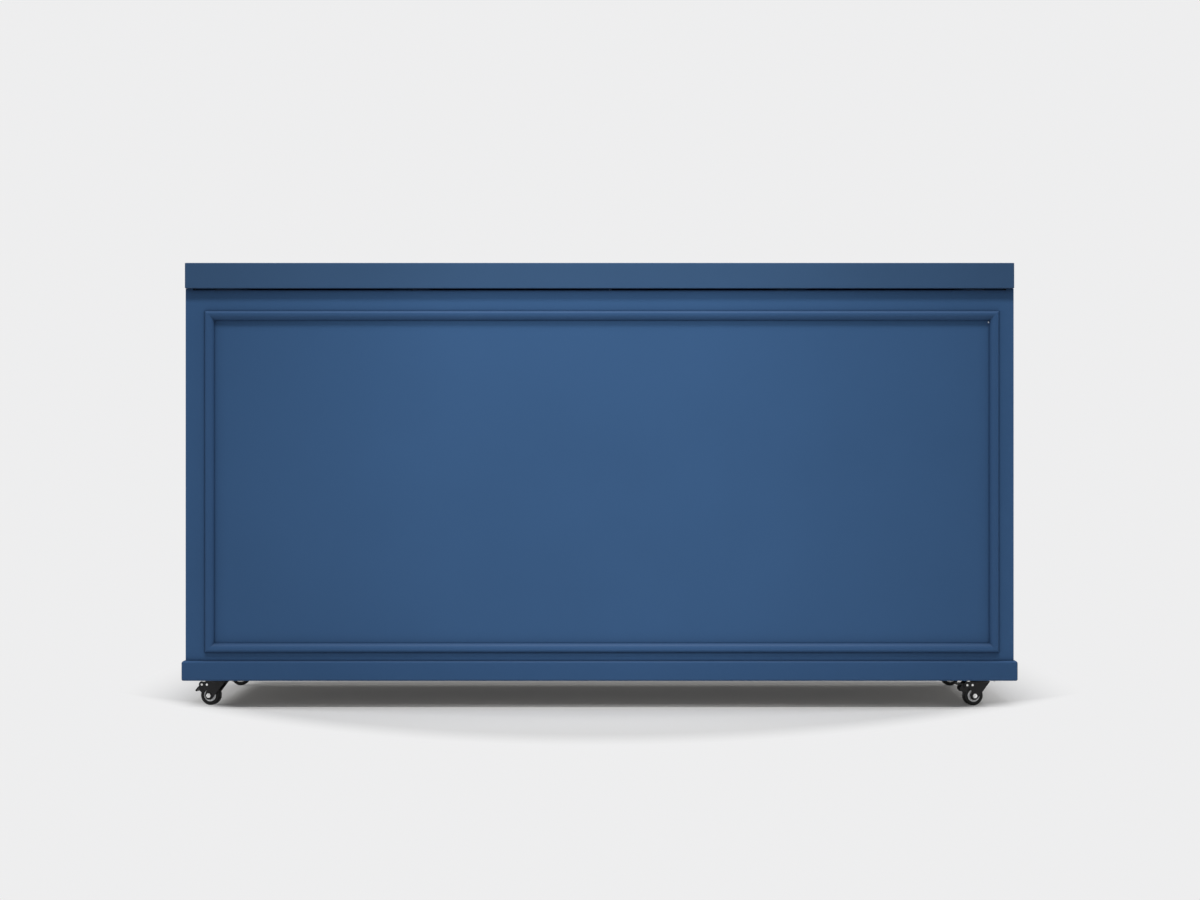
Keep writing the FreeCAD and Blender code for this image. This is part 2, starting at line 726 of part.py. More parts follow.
def make_inside():
    board(
        "centre_divider",
        (DIVIDER_LEFT, STRETCHER_BACK, f"{BASE_TOP} - groove_depth"),
        (DIVIDER_RIGHT, REAR_INSIDE, BODY_TOP),
    )
    board(
        "front_stretcher",
        (LEFT_INSIDE, FRAME_BACK, f"{BODY_TOP} - stretcher_height"),
        (RIGHT_INSIDE, STRETCHER_BACK, BODY_TOP),
    )
    board(
        "rear_top_rail",
        (LEFT_INSIDE, REAR_INSIDE, f"{BODY_TOP} - rear_rail_height"),
        (RIGHT_INSIDE, BACK, BODY_TOP),
    )
    board(
        "rear_bottom_rail",
        (LEFT_INSIDE, REAR_INSIDE, BASE_TOP),
        (RIGHT_INSIDE, BACK, f"{BODY_BOTTOM} + plinth_height"),
    )
    bays = (
        ("left_shelf", LEFT_INSIDE, DIVIDER_LEFT),
        ("right_shelf", DIVIDER_RIGHT, RIGHT_INSIDE),
    )
    cleats = []
    for label, left, right in bays:
        shelf = board(
            label,
            (f"{left} + shelf_clearance", SHELF_FRONT, SHELF_BOTTOM),
            (f"{right} - shelf_clearance", SHELF_REAR, f"{SHELF_BOTTOM} + board_thickness"),
        )
        ease(shelf, "board_ease", y=SHELF_REAR, z=f"{SHELF_BOTTOM} + board_thickness")
        for cleat_left, cleat_right in ((left, f"{left} + cleat_width"), (f"{right} - cleat_width", right)):
            low = (cleat_left, SHELF_FRONT, f"{SHELF_BOTTOM} - cleat_height")
            cleats.append(box(None, "Box", low, (cleat_right, SHELF_REAR, SHELF_BOTTOM)))
    group("shelf_cleats", cleats)


def make_plinth():
    ring_of_lippings(
        ("plinth_front", "plinth_rear", "plinth_left", "plinth_right"),
        lipping_section("plinth_thickness", "plinth_height", "plinth_round", "plinth_ease"),
        "plinth_thickness",
        "body_width + 2 * plinth_thickness",
        "body_depth + 2 * plinth_thickness",
        BODY_BOTTOM,
    )


# Casters

def swivel_place(side_x, side_y):
    """The point on the floor under a caster's swivel axis."""
    inset = "front_caster_inset" if side_y < 0 else "rear_caster_inset"
    x = f"({side_x} * (body_width / 2 - {inset}))"
    y = f"({side_y} * (body_depth / 2 - caster_inset_y))"
    return x, y


def plate_screw_places(side_x, side_y):
    """The four screws of one caster's plate."""
    x, y = swivel_place(side_x, side_y)
    return [
        (f"({x} + {along} * screw_spacing_x / 2)", f"({y} + {across} * screw_spacing_y / 2)")
        for along in (-1, 1)
        for across in (-1, 1)
    ]


def screw_places():
    """The screws of all the plates."""
    return [place for corner, side_x, side_y in CORNERS for place in plate_screw_places(side_x, side_y)]


def stand_caster(thing, corner, side_x, side_y):
    """Put a piece that was made in a caster's own frame at its corner, swivelled as it stands."""
    x, y = swivel_place(side_x, side_y)
    bind_place(thing, (x, y, "0"))
    bind(thing, ".Placement.Rotation.Angle", f"{corner}_yaw * 1 deg")


def make_plate(corner, side_x, side_y):
    x, y = swivel_place(side_x, side_y)
    left, right = f"({x} - plate_length / 2)", f"({x} + plate_length / 2)"
    front, back = f"({y} - plate_width / 2)", f"({y} + plate_width / 2)"
    plate = board(f"{corner}_caster_plate", (left, front, PLATE_BOTTOM), (right, back, BODY_BOTTOM))
    doc.recompute()
    base = plate.Tip
    corners = [
        f"Edge{number}"
        for number, edge in enumerate(base.Shape.Edges, start=1)
        if abs(edge.tangentAt(edge.FirstParameter).z) > 1 - SAME_PLACE
    ]
    fillet = plate.newObject("PartDesign::Fillet", "Corners")
    fillet.Base = (base, corners)
    bind(fillet, "Radius", "plate_corner")
    below = f"{PLATE_BOTTOM} - overrun"
    through = "plate_thickness + 2 * overrun"
    cylinder(plate, "SubtractiveCylinder", "kingpin_diameter / 2", (x, y, below), through)
    for screw_x, screw_y in plate_screw_places(side_x, side_y):
        cylinder(
            plate,
            "SubtractiveCylinder",
            "screw_diameter / 2 + running_clearance",
            (screw_x, screw_y, below),
            through,
        )


def make_kingpins():
    """Swivel pins, riveted flush into the plates, with their heads under the crowns."""
    pins = []
    head_top = f"({CROWN_BOTTOM} - seat_clearance)"
    for corner, side_x, side_y in CORNERS:
        x, y = swivel_place(side_x, side_y)
        head = cylinder(
            None,
            "Cylinder",
            "kingpin_head_diameter / 2",
            (x, y, f"{head_top} - kingpin_head_height"),
            "kingpin_head_height",
        )
        shank = cylinder(
            None, "Cylinder", "kingpin_diameter / 2", (x, y, head_top), f"{BODY_BOTTOM} - {head_top}"
        )
        pins.append(fused([head, shank]))
    group("kingpins", pins)


def make_swivel_balls():
    balls = []
    for corner, side_x, side_y in CORNERS:
        x, y = swivel_place(side_x, side_y)
        for number in range(BALLS_PER_CASTER):
            turn = f"({number} * 360 / {BALLS_PER_CASTER} * 1 deg)"
            ball = doc.addObject("Part::Sphere", "Ball")
            bind(ball, "Radius", "ball_diameter / 2")
            bind_place(
                ball,
                (
                    f"{x} + ball_ring_diameter / 2 * cos{turn}",
                    f"{y} + ball_ring_diameter / 2 * sin{turn}",
                    f"{CROWN_TOP} + race_gap / 2",
                ),
            )
            balls.append(ball)
    group("swivel_balls", balls)


def make_caster_screws():
    screws = []
    head_bottom = f"{PLATE_BOTTOM} - screw_head_height"
    for x, y in screw_places():
        head = cylinder(
            None, "Cylinder", "screw_head_diameter / 2", (x, y, head_bottom), "screw_head_height"
        )
        shank = cylinder(
            None, "Cylinder", "screw_diameter / 2", (x, y, PLATE_BOTTOM), "plate_thickness + screw_bite"
        )
        screws.append(fused([head, shank]))
    group("caster_screws", screws)


def make_fork(corner, side_x, side_y):
    """Pressed fork: two legs and a crown, with a collar round the swivel balls."""
    fork = sub_part(f"{corner}_fork", new_body(f"{corner}_fork"))
    stand_caster(fork, corner, side_x, side_y)
    legs = new_sketch(fork, "XZ_Plane")
    rear_x = f"{AXLE_X} + fork_end_radius * cos(fork_rear_angle * 1 deg)"
    rear_z = f"{AXLE_Z} + fork_end_radius * sin(fork_rear_angle * 1 deg)"
    front_x = f"{AXLE_X} + fork_end_radius * cos(fork_front_angle * 1 deg)"
    front_z = f"{AXLE_Z} + fork_end_radius * sin(fork_front_angle * 1 deg)"
    ear_bottom = f"{PIN_Z} - {EAR_RADIUS}"
    outline(
        legs,
        (
            ("fork_front_reach", CROWN_TOP),
            (PIVOT_X, CROWN_TOP),
            (f"{PIVOT_X} - {EAR_RADIUS}", PIN_Z),
            (PIVOT_X, ear_bottom),
            (f"{AXLE_X} - fork_shoulder_back", ear_bottom),
            (f"{AXLE_X} - fork_neck_back", f"{AXLE_Z} + fork_neck_rise"),
            (rear_x, rear_z),
            (front_x, front_z),
        ),
        {1: EAR_RADIUS, 2: EAR_RADIUS, 6: "fork_end_radius"},
    )
    pad(fork, legs, f"2 * {LEG_OUTSIDE}")
    rear = f"{PIVOT_X} - {EAR_RADIUS} - overrun"
    half_gap = "(fork_gap / 2)"
    box(
        fork,
        "SubtractiveBox",
        (rear, f"-{half_gap}", "-overrun"),
        ("fork_front_reach + overrun", half_gap, CROWN_BOTTOM),
    )
    box(
        fork,
        "SubtractiveBox",
        (rear, f"-{half_gap}", f"{CROWN_BOTTOM} - overrun"),
        ("-crown_tongue", half_gap, f"{CROWN_TOP} + overrun"),
    )
    crown_radius = "crown_diameter / 2"
    axis_point = ("0", "0", CROWN_BOTTOM)
    cylinder(fork, "AdditiveCylinder", crown_radius, axis_point, "fork_sheet + collar_height")
    cylinder(
        fork,
        "SubtractiveCylinder",
        f"{crown_radius} - collar_thickness",
        ("0", "0", CROWN_TOP),
        "collar_height + overrun",
    )
    cylinder(
        fork,
        "SubtractiveCylinder",
        "kingpin_diameter / 2 + running_clearance",
        ("0", "0", f"{CROWN_BOTTOM} - overrun"),
        "fork_sheet + 2 * overrun",
    )
    pins = (
        (AXLE_X, AXLE_Z, "axle_diameter"),
        (PIVOT_X, PIN_Z, "rivet_diameter"),
        (BRACE_X, PIN_Z, "rivet_diameter"),
    )
    for x, z, diameter in pins:
        cylinder(
            fork,
            "SubtractiveCylinder",
            f"{diameter} / 2 + running_clearance",
            (x, f"-{LEG_OUTSIDE} - overrun", z),
            f"2 * ({LEG_OUTSIDE} + overrun)",
            along_y=True,
        )


def hexagon(across_flats, start, length):
    """A loose hexagonal prism along +Y."""
    prism = doc.addObject("Part::Prism", "Hexagon")
    prism.Polygon = 6
    prism.Placement = FreeCAD.Placement(FreeCAD.Vector(), ALONG_Y)
    bind(prism, "Circumradius", f"{across_flats} / sqrt(3)")
    bind(prism, "Height", length)
    bind_place(prism, start)
    return prism


def make_fork_pins(corner, side_x, side_y):
    """Axle bolt and nut, the lever's rivet and the rivet that braces the legs."""
    shank = cylinder(
        None,
        "Cylinder",
        "axle_diameter / 2",
        (AXLE_X, f"-{LEG_OUTSIDE} - axle_nut_height - axle_end", AXLE_Z),
        f"2 * {LEG_OUTSIDE} + axle_nut_height + axle_end",
        along_y=True,
    )
    head = hexagon("axle_nut_width", (AXLE_X, LEG_OUTSIDE, AXLE_Z), "axle_nut_height")
    nut_start = f"-{LEG_OUTSIDE} - axle_nut_height"
    blank = hexagon("axle_nut_width", (AXLE_X, nut_start, AXLE_Z), "axle_nut_height")
    bore = cylinder(
        None,
        "Cylinder",
        "axle_diameter / 2 + running_clearance",
        (AXLE_X, f"{nut_start} - overrun", AXLE_Z),
        "axle_nut_height + 2 * overrun",
        along_y=True,
    )
    nut = doc.addObject("Part::Cut", "Nut")
    nut.Base = blank
    nut.Tool = bore
    pins = [fused([shank, head]), nut]
    for x in (PIVOT_X, BRACE_X):
        members = [
            cylinder(
                None,
                "Cylinder",
                "rivet_diameter / 2",
                (x, f"-{LEG_OUTSIDE}", PIN_Z),
                f"2 * {LEG_OUTSIDE}",
                along_y=True,
            )
        ]
        for start in (f"-{LEG_OUTSIDE} - rivet_head_height", LEG_OUTSIDE):
            members.append(
                cylinder(
                    None,
                    "Cylinder",
                    "rivet_head_diameter / 2",
                    (x, start, PIN_Z),
                    "rivet_head_height",
                    along_y=True,
                )
            )
        pins.append(fused(members))
    stand_caster(group(f"{corner}_fork_pins", pins), corner, side_x, side_y)


def make_wheel(corner, side_x, side_y):
    """Hub with a rim, web and boss, and the tyre round it."""
    wheel_frame = ("0", AXLE_Z, AXLE_X)
    hub = sub_part(f"{corner}_wheel_hub", new_body(f"{corner}_wheel_hub"))
    stand_caster(hub, corner, side_x, side_y)
    section = new_sketch(hub, "YZ_Plane", wheel_frame)
    bore = "axle_diameter / 2 + running_clearance"
    boss_end = "(fork_gap / 2 - seat_clearance)"
    boss = "hub_boss_diameter / 2"
    web = "(hub_web_thickness / 2)"
    rim_inside = "hub_diameter / 2 - hub_rim_thickness"
    rim_outside = "hub_diameter / 2"
    rim_edge = "(hub_width / 2)"
    outline(
        section,
        (
            (f"-{boss_end}", bore),
            (boss_end, bore),
            (boss_end, boss),
            (web, boss),
            (web, rim_inside),
            (rim_edge, rim_inside),
            (rim_edge, rim_outside),
            (f"-{rim_edge}", rim_outside),
            (f"-{rim_edge}", rim_inside),
            (f"-{web}", rim_inside),
            (f"-{web}", boss),
            (f"-{boss_end}", boss),
        ),
    )
    revolution(hub, section)
    tyre = sub_part(f"{corner}_tyre", new_body(f"{corner}_tyre"))
    stand_caster(tyre, corner, side_x, side_y)
    section = new_sketch(tyre, "YZ_Plane", wheel_frame)
    side = "(tread_width / 2)"
    tread = "wheel_diameter / 2"
    shoulder = f"{tread} - tyre_shoulder"
    flat = "(tread_width / 2 - tyre_shoulder)"
    outline(
        section,
        (
            (f"-{side}", rim_outside),
            (side, rim_outside),
            (side, shoulder),
            (flat, tread),
            (f"-{flat}", tread),
            (f"-{side}", shoulder),
        ),
        {2: "tyre_shoulder", 4: "tyre_shoulder"},
    )
    revolution(tyre, section)


def make_brake_lever(corner, side_x, side_y):
    """Rocking lever: a boss on its rivet, a cam over the tyre, cheeks beside it and a pedal behind."""
    lever = sub_part(f"{corner}_brake_lever", new_body(f"{corner}_brake_lever"))
    stand_caster(lever, corner, side_x, side_y)
    lever_frame = (PIVOT_X, PIN_Z, "0")
    pressed = f"({BRAKE_PRESSED_SHARES[corner]} * brake_travel)"
    boss = "lever_boss_diameter / 2"
    pedal_under = f"{boss} - pedal_thickness"
    width = f"2 * {LEVER_OUTSIDE}"
    tip = [("-pedal_reach", boss), ("-pedal_reach", pedal_under)]
    arm = new_sketch(lever, "XZ_Plane", lever_frame, pressed)
    outline(arm, [("0", boss)] + tip + [("-cheek_root", pedal_under), ("0", f"-({boss})")])
    pad(lever, arm, width)
    pedal = new_sketch(lever, "XZ_Plane", lever_frame, pressed)
    outline(pedal, [("-pedal_start", boss)] + tip + [("-pedal_start", pedal_under)])
    pad(lever, pedal, "pedal_width")
    for side in (-1, 1):
        middle = f"{side} * ({CHEEK_INSIDE} + {LEVER_OUTSIDE}) / 2"
        cheek = new_sketch(lever, "XZ_Plane", (PIVOT_X, PIN_Z, middle), pressed)
        outline(
            cheek,
            (
                ("0", boss),
                ("-cheek_root", boss),
                ("-cheek_root", "0"),
                ("-cheek_reach", "-cheek_shoulder"),
                ("-cheek_reach", "-cheek_heel"),
                ("-cheek_toe", "-cheek_drop"),
                ("0", "-cheek_drop"),
                (boss, "0"),
            ),
        )
        pad(lever, cheek, f"{LEVER_OUTSIDE} - {CHEEK_INSIDE}")
    start_y = f"-{LEVER_OUTSIDE}"
    cylinder(lever, "AdditiveCylinder", boss, (PIVOT_X, start_y, PIN_Z), width, along_y=True)
    axle_rise = f"({PIN_Z} - {AXLE_Z})"
    tread_distance = f"(sqrt(pivot_back^2 + {axle_rise}^2) - wheel_diameter / 2)"
    nose_reach = f"({tread_distance} - brake_gap - lever_nose_radius)"
    nose_turn = f"(atan({axle_rise} / pivot_back) + (brake_travel - {pressed}) * 1 deg)"
    cylinder(
        lever,
        "AdditiveCylinder",
        "lever_nose_radius",
        (f"{PIVOT_X} + {nose_reach} * cos{nose_turn}", start_y, f"{PIN_Z} - {nose_reach} * sin{nose_turn}"),
        width,
        along_y=True,
    )
    cylinder(
        lever,
        "SubtractiveCylinder",
        "rivet_diameter / 2 + running_clearance",
        (PIVOT_X, f"{start_y} - overrun", PIN_Z),
        f"{width} + 2 * overrun",
        along_y=True,
    )


def make_casters():
    make_kingpins()
    make_swivel_balls()
    make_caster_screws()
    for corner, side_x, side_y in CORNERS:
        make_plate(corner, side_x, side_y)
        make_fork(corner, side_x, side_y)
        make_fork_pins(corner, side_x, side_y)
        make_wheel(corner, side_x, side_y)
        make_brake_lever(corner, side_x, side_y)


# The whole counter

def check_objects():
    """Stop if any object failed, or a sub-part has no sound shape."""
    for thing in doc.Objects:
        if "Invalid" in thing.State or "Error" in thing.State:
            raise RuntimeError(f"{thing.Label} failed: {thing.State}")
    for label, thing in sub_parts.items():
        if thing.Shape.isNull() or not thing.Shape.isValid() or not thing.Shape.Solids:
            raise RuntimeError(f"{label} has no sound shape")


make_slab()
make_front_frame()
make_front_panel()
make_front_mouldings()
make_end_mouldings("left_end_moulding", LEFT, -X_AXIS)
make_end_mouldings("right_end_moulding", RIGHT, X_AXIS)
make_end_panels()
make_base_board()
make_inside()
make_plinth()
make_casters()
doc.recompute()
check_objects()

os.makedirs("parts", exist_ok=True)
for label, thing in sub_parts.items():
    thing.Shape.exportStep(f"parts/{label}.step")
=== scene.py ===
# Looks of the mobile bar counter: satin blue paint, black braked casters and a pale studio.
# Metres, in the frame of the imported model: guests' side towards -Y, +Z up.
import json
import math

import bpy
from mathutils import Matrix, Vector


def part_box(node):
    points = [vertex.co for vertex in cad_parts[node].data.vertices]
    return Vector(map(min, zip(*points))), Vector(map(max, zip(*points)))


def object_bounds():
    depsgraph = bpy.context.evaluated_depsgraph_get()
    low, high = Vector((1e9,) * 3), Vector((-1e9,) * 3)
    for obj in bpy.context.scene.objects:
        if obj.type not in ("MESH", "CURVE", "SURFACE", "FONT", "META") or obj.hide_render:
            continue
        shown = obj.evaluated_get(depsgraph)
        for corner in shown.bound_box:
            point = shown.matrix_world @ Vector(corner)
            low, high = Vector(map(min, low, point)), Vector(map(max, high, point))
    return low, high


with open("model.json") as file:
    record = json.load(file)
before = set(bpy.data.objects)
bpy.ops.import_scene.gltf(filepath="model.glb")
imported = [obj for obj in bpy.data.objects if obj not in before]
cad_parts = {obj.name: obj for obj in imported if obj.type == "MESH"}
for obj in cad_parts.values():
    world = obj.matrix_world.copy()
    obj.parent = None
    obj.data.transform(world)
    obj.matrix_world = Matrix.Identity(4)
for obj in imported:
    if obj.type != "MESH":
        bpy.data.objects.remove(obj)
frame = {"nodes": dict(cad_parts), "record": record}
cad_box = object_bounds()
nodes = frame["nodes"]
CORNERS = ("front_left", "front_right", "rear_left", "rear_right")

# Camera of the photograph: level, square to the front and a little to its right, with its lens for a
# 36 mm wide sensor. The shift, a share of the picture's width, puts the counter back in the middle.
CAMERA_PLACE = (0.096, -5.785, 0.6176)
CAMERA_LENS = 68.73
CAMERA_SHIFT_SHARE = -0.0331
SENSOR_WIDTH = 36.0

# Light. A strength of 1 in the world is white. The end lamp is the right one, and the left one mirrors it.
BACKDROP_COLOUR = (0.855, 0.855, 0.86)
WORLD_LIGHT = 0.20
KEY_PLACE = (0.0, -2.30, 5.55)
KEY_TARGET = (0.0, -0.3, 0.8)
KEY_SIZE = (2.6, 0.7)
KEY_POWER = 236
SPOT_PLACE = (0.0, -3.05, 2.5)
SPOT_TARGET = (0.0, -0.3, 0.72)
SPOT_POWER = 178
SPOT_ANGLE_DEG = 35
SPOT_RADIUS = 0.3
LOW_PLACE = (0.0, -3.6, 0.3)
LOW_TARGET = (0.0, -0.3, 0.3)
LOW_SIZE = (3.0, 0.3)
LOW_POWER = 13
END_PLACE = (3.2, 0.03, 1.9)
END_TARGET = (1.0, 0.03, 0.5)
END_SIZE = (0.55, 0.9)
END_POWER = 48
REAR_PLACE = (0.0, 3.4, 2.5)
REAR_TARGET = (0.0, 0.3, 0.6)
REAR_SIZE = (3.0, 1.2)
REAR_POWER = 48

# Floor: a disc whose shading fades into the backdrop at these distances from the counter. In front,
# the shadow reaches furthest before the middle, and falls back to the front edge at its half width.
FLOOR_RADIUS = 40.0
FLOOR_RIM_POINTS = 128
FLOOR_COLOUR = (0.55, 0.545, 0.537)
FADE_AT_SIDES = (-0.15, 0.25)
SHADOW_REACH = 0.45
SHADOW_HALF_WIDTH = 0.80
FADE_IN_FRONT = (0.0, 0.26)
FADE_BEHIND = (0.1, 0.9)
FLOOR_GLOW_SHARE = 0.06

# Colours, linear. Each pair of shades is mixed in clouds.
PAINT_SHADES = ((0.034, 0.086, 0.190), (0.037, 0.093, 0.205))
# The slab's, the mouldings' and the plinth's shades are darker copies of the paint: painted shade. The
# slab's is also greyer: a painted reflection.
SLAB_SHADED_GREYED_SHADES = ((0.034, 0.077, 0.156), (0.037, 0.083, 0.168))
MOULDING_SHADED_SHADES = ((0.031, 0.078, 0.174), (0.034, 0.084, 0.187))
PLINTH_SHADED_SHADES = ((0.030, 0.077, 0.172), (0.033, 0.083, 0.185))
INSIDE_SHADES = ((0.028, 0.076, 0.172), (0.033, 0.088, 0.198))
RAW_SHADES = ((0.50, 0.48, 0.44), (0.62, 0.60, 0.56))
STEEL_SHADES = ((0.003, 0.003, 0.0035), (0.008, 0.008, 0.009))
TYRE_SHADES = ((0.003, 0.003, 0.003), (0.014, 0.0135, 0.013))
HUB_SHADES = ((0.93, 0.94, 0.95), (0.68, 0.68, 0.68))
ZINC_SHADES = ((0.90, 0.90, 0.89), (0.55, 0.55, 0.54))
# The paint's lighter edges: partly wear, partly a painted highlight where the edges catch the light.
WORN_AND_HIGHLIT_EDGE_COLOUR = (0.105, 0.120, 0.150)
PAINTED_CREASE_SHADE_COLOUR = (0.007, 0.020, 0.052)
BARE_STEEL_COLOUR = (0.55, 0.55, 0.54)
PALE_SPOT_COLOUR = (0.86, 0.92, 1.0)

# Patterns: features per metre, octaves of detail, how rough these are, the stretch along each axis, and
# the levels of the noise at which the pattern starts and is full.
PAINT_CLOUDS = dict(scale=2.1, detail=3.0, levels=(0.3, 0.7))
PAINT_GLOSS = dict(scale=9.0, detail=3.0, levels=(0.3, 0.7))
PAINT_RUB_AND_HIGHLIGHT_PATCHES = dict(scale=38.0, detail=4.0, roughness=0.65, levels=(0.42, 0.68))
PAINT_STIPPLE = dict(scale=420.0, detail=3.0, roughness=0.6)
RAW_STREAKS = dict(scale=6.0, detail=6.0, roughness=0.6, stretch=(1, 14, 14), levels=(0.3, 0.7))
STEEL_CLOUDS = dict(scale=60.0, detail=4.0, levels=(0.35, 0.7))
STEEL_GLOSS = dict(scale=120.0, detail=3.0, levels=(0.3, 0.7))
STEEL_RUBS = dict(scale=240.0, detail=3.0, levels=(0.5, 0.72))
STEEL_GRAIN = dict(scale=900.0)
TYRE_DUST = dict(scale=95.0, detail=5.0, roughness=0.65, levels=(0.45, 0.75))
TYRE_GRAIN = dict(scale=1400.0)
HUB_SOIL = dict(scale=150.0, detail=4.0, roughness=0.6, levels=(0.48, 0.75))
HUB_GRAIN = dict(scale=1100.0)
ZINC_PATCHES = dict(scale=220.0, detail=4.0, levels=(0.35, 0.7))
ZINC_MARKS = dict(scale=1800.0, stretch=(1, 4, 1))

# Gloss: how rough each surface is, from its shiniest to its dullest places, and how much it reflects.
PAINT_ROUGHNESS = (0.44, 0.48)
INSIDE_ROUGHNESS = (0.53, 0.57)
STEEL_ROUGHNESS = (0.34, 0.48)
TYRE_ROUGHNESS = (0.42, 0.7)
HUB_ROUGHNESS = (0.35, 0.55)
ZINC_ROUGHNESS = (0.24, 0.4)
PAINT_SPECULAR = 0.11
STEEL_SPECULAR = 0.3
TYRE_SPECULAR = 0.25

# Relief: its full height, and the share of it that shows.
PAINT_RELIEF = (0.0004, 0.16)
STEEL_RELIEF = (0.00015, 0.2)
TYRE_RELIEF = (0.0001, 0.25)
HUB_RELIEF = (0.0001, 0.15)
ZINC_RELIEF = (0.00008, 0.2)

# Wear, and on the paint also a painted highlight along the edges. An edge is where a rounded normal leaves
# the true one, full where they agree no more than this.
EDGE_SAMPLES = 4
PAINT_EDGE = 0.0025
PAINT_EDGE_AGREEMENT = 0.86
PAINT_WEAR_AND_HIGHLIGHT_SHARE = 0.75
STEEL_EDGE = 0.0006
STEEL_EDGE_AGREEMENT = 0.8
STEEL_WEAR_SHARE = 0.6

# Painted shade in the creases: how far it looks for other faces, the open shares at which it starts and is
# full, and how much of its colour then shows.
CREASE_SHADE_SAMPLES = 6
CREASE_SHADE_REACH = 0.032
CREASE_SHADE_OPEN_SHARES = (0.97, 0.55)
CREASE_SHADE_COLOUR_SHARE = 0.9

# Raw board shows on faces whose normal's upward part is below these.
DOWNWARD_LIMITS = (-0.5, -0.6)

# The small pale spot painted in the panel's upper right corner, and its distances from the mouldings
# there.
PALE_SPOT_RADIUS = 0.0022
PALE_SPOT_TO_SIDE = 0.0012
PALE_SPOT_TO_TOP = 0.0042

# Rounds on the casters' edges, and the gap at which points of a piece are joined before it is rounded.
WELD_GAP = 0.00001
ROUND_ANGLE_DEG = 35
ROUND_SEGMENTS = 2
SCREW_ROUND = 0.0008
CASTER_ROUNDS = {
    "fork": 0.0006,
    "brake_lever": 0.0008,
    "fork_pins": 0.0005,
    "wheel_hub": 0.0005,
    "caster_plate": 0.0004,
}


# Shader helpers

def add_node(tree, kind, **settings):
    """A shader node with its settings made."""
    node = tree.nodes.new(kind)
    for name, setting in settings.items():
        setattr(node, name, setting)
    return node


def set_inputs(node, **values):
    """Set sockets by name, with underscores for the spaces."""
    for name, number in values.items():
        node.inputs[name.replace("_", " ")].default_value = number


def piece_coordinates(tree):
    """Coordinates in metres that stay with the piece when it moves."""
    return add_node(tree, "ShaderNodeTexCoord").outputs["Object"]


def noise(tree, scale, detail=2.0, roughness=0.5, stretch=(1, 1, 1)):
    """Grey noise with so many features per metre."""
    texture = add_node(tree, "ShaderNodeTexNoise")
    set_inputs(texture, Scale=scale, Detail=detail, Roughness=roughness)
    mapping = add_node(tree, "ShaderNodeMapping")
    mapping.inputs["Scale"].default_value = stretch
    tree.links.new(piece_coordinates(tree), mapping.inputs["Vector"])
    tree.links.new(mapping.outputs["Vector"], texture.inputs["Vector"])
    return texture.outputs["Fac"]


def remap(tree, source, low, high, to_low=0.0, to_high=1.0, smooth=False):
    """A value taken from one range to another, and kept inside it."""
    node = add_node(tree, "ShaderNodeMapRange")
    node.interpolation_type = "SMOOTHSTEP" if smooth else "LINEAR"
    for number, limit in enumerate((low, high, to_low, to_high), start=1):
        node.inputs[number].default_value = limit
    tree.links.new(source, node.inputs[0])
    return node.outputs[0]


def patches(tree, pattern, to_low=0.0, to_high=1.0):
    """Noise taken from the pattern's levels to another range."""
    shape = {name: value for name, value in pattern.items() if name != "levels"}
    return remap(tree, noise(tree, **shape), *pattern["levels"], to_low, to_high)


def calculate(tree, operation, first, second=0.0):
    """One sum on two values, each a socket or a number."""
    node = add_node(tree, "ShaderNodeMath", operation=operation)
    for number, value in enumerate((first, second)):
        if isinstance(value, bpy.types.NodeSocket):
            tree.links.new(value, node.inputs[number])
        else:
            node.inputs[number].default_value = value
    return node.outputs[0]


def blend_colours(tree, share, first, second):
    """A mix of two colours, each a socket or three numbers."""
    node = add_node(tree, "ShaderNodeMix", data_type="RGBA")
    tree.links.new(share, node.inputs["Factor"])
    for name, colour in (("A", first), ("B", second)):
        socket = next(item for item in node.inputs if item.name == name and item.type == "RGBA")
        if isinstance(colour, bpy.types.NodeSocket):
            tree.links.new(colour, socket)
        else:
            socket.default_value = (*colour, 1)
    return next(item for item in node.outputs if item.type == "RGBA")


def new_material(name):
    """A procedural material, its node tree and its shader."""
    material = bpy.data.materials.new(name)
    material.use_nodes = True
    tree = material.node_tree
    return material, tree, tree.nodes["Principled BSDF"]


def lead_to_shader(tree, shader, colour, gloss, grain, relief):
    """Give the shader its colour, its roughness, and the grain as relief."""
    tree.links.new(colour, shader.inputs["Base Color"])
    tree.links.new(gloss, shader.inputs["Roughness"])
    height, shown_share = relief
    bump = add_node(tree, "ShaderNodeBump")
    set_inputs(bump, Distance=height, Strength=shown_share)
    tree.links.new(noise(tree, **grain), bump.inputs["Height"])
    tree.links.new(bump.outputs["Normal"], shader.inputs["Normal"])


def edge_mask(tree, radius, agreement):
    """One along the edges of the piece, nothing on its flats."""
    rounded = add_node(tree, "ShaderNodeBevel", samples=EDGE_SAMPLES)
    rounded.inputs["Radius"].default_value = radius
    straight = add_node(tree, "ShaderNodeNewGeometry")
    facing = add_node(tree, "ShaderNodeVectorMath", operation="DOT_PRODUCT")
    tree.links.new(rounded.outputs["Normal"], facing.inputs[0])
    tree.links.new(straight.outputs["Normal"], facing.inputs[1])
    return remap(tree, facing.outputs["Value"], 1.0, agreement)


def painted_crease_shade_mask(tree):
    """Painted shade: one deep in the corners between pieces, where shade falls, nothing on open faces."""
    openness = add_node(tree, "ShaderNodeAmbientOcclusion", samples=CREASE_SHADE_SAMPLES)
    openness.inputs["Distance"].default_value = CREASE_SHADE_REACH
    return remap(tree, openness.outputs["AO"], *CREASE_SHADE_OPEN_SHARES)


def downward_mask(tree):
    """One on the faces that look down, nothing on the others."""
    parts = add_node(tree, "ShaderNodeSeparateXYZ")
    tree.links.new(add_node(tree, "ShaderNodeNewGeometry").outputs["True Normal"], parts.inputs[0])
    return remap(tree, parts.outputs["Z"], *DOWNWARD_LIMITS)


def spot_mask(tree, place, radius):
    """One in the middle of a round spot, nothing outside it."""
    distance = add_node(tree, "ShaderNodeVectorMath", operation="DISTANCE")
    tree.links.new(piece_coordinates(tree), distance.inputs[0])
    distance.inputs[1].default_value = place
    return remap(tree, distance.outputs["Value"], radius, radius / 2)


# Materials

